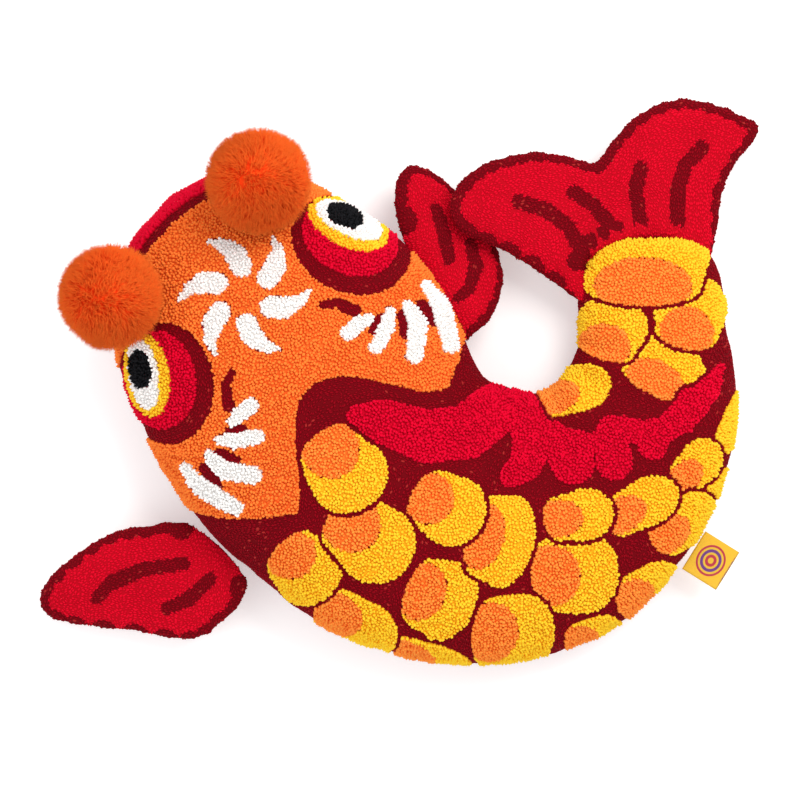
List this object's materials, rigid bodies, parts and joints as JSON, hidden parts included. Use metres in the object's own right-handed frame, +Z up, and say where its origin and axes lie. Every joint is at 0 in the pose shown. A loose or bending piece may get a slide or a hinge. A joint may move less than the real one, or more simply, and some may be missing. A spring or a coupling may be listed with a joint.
{
  "type": "stuffed carp cushion",
  "caption": "Carp-shaped stuffed throw cushion curled into a C, with loop-pile scales and face, padded fins and tail, and fur pom-poms on the snout.",
  "frame": {"origin": "middle of the whole outline, on the surface the cushion lies on", "axes": "+X to the right with the snout at the upper left, +Y away from the belly towards the tail, +Z up out of the face"},
  "size_m": [0.5783, 0.4528, 0.1724],
  "materials": {
    "maroon_ground": "chain-stitched thread",
    "back_fabric": "plain woven",
    "wadding": "polyester fibre",
    "orange_pile": "loop pile",
    "crimson_pile": "loop pile",
    "white_pile": "loop pile",
    "yellow_pile": "loop pile",
    "black_pile": "loop pile",
    "crimson_cover": "chain-stitched thread",
    "fur": "long faux fur",
    "cord": "twisted cord",
    "label_tape": "woven tape"
  },
  "bodies": {
    "body": {"front_panel": "maroon_ground", "back_panel": "back_fabric", "body_fill": "wadding", "head_pile": "orange_pile", "lip_pile": "crimson_pile", "flower_pile": "white_pile", "right_eye_patch": "crimson_pile", "right_eye_ring": "yellow_pile", "right_eye_white": "white_pile", "right_eye_pupil": "black_pile", "left_eye_patch": "crimson_pile", "left_eye_ring": "yellow_pile", "left_eye_white": "white_pile", "left_eye_pupil": "black_pile", "gill_pile": "white_pile", "gill_shadow": "maroon_ground", "dorsal_pile": "crimson_pile", "scale_pile": "yellow_pile", "scale_centre_pile": "orange_pile"},
    "left_fin": {"left_fin_face": "crimson_cover", "left_fin_back": "back_fabric", "left_fin_wadding": "wadding", "left_fin_stripes": "maroon_ground"},
    "right_fin": {"right_fin_face": "crimson_cover", "right_fin_back": "back_fabric", "right_fin_wadding": "wadding", "right_fin_stripes": "maroon_ground"},
    "tail": {"tail_face": "crimson_cover", "tail_back": "back_fabric", "tail_wadding": "wadding", "tail_stripes": "maroon_ground"},
    "right_pompom": {"right_ball": "fur", "right_tie": "cord"},
    "left_pompom": {"left_ball": "fur", "left_tie": "cord"},
    "label": {"side_label": "label_tape"}
  },
  "joints": [
    {"name": "left_fin_bend", "type": "hinge", "parent": "body", "child": "left_fin", "pos_m": [-0.145, -0.1335, 0.046], "axis": [0.7138, -0.7004, 0], "range_deg": [-30, 3]},
    {"name": "right_fin_bend", "type": "hinge", "parent": "body", "child": "right_fin", "pos_m": [0.025, 0.08, 0.05], "axis": [0.5408, -0.8412, 0], "range_deg": [-10, 0]},
    {"name": "tail_lift", "type": "hinge", "parent": "body", "child": "tail", "pos_m": [0.199, 0.085, 0.028], "axis": [1, 0, 0], "range_deg": [0, 30]},
    {"name": "right_pompom_swing", "type": "hinge", "parent": "body", "child": "right_pompom", "pos_m": [-0.116, 0.13, 0.099], "axis": [0.8, 0.6, 0], "range_deg": [-10, 10]},
    {"name": "left_pompom_swing", "type": "hinge", "parent": "body", "child": "left_pompom", "pos_m": [-0.196, 0.074, 0.096], "axis": [0.8, 0.6, 0], "range_deg": [-10, 6]},
    {"name": "label_flap", "type": "hinge", "parent": "body", "child": "label", "pos_m": [0.232, -0.134, 0.038], "axis": [0.5299, 0.848, 0], "range_deg": [-30, 30]}
  ]
}
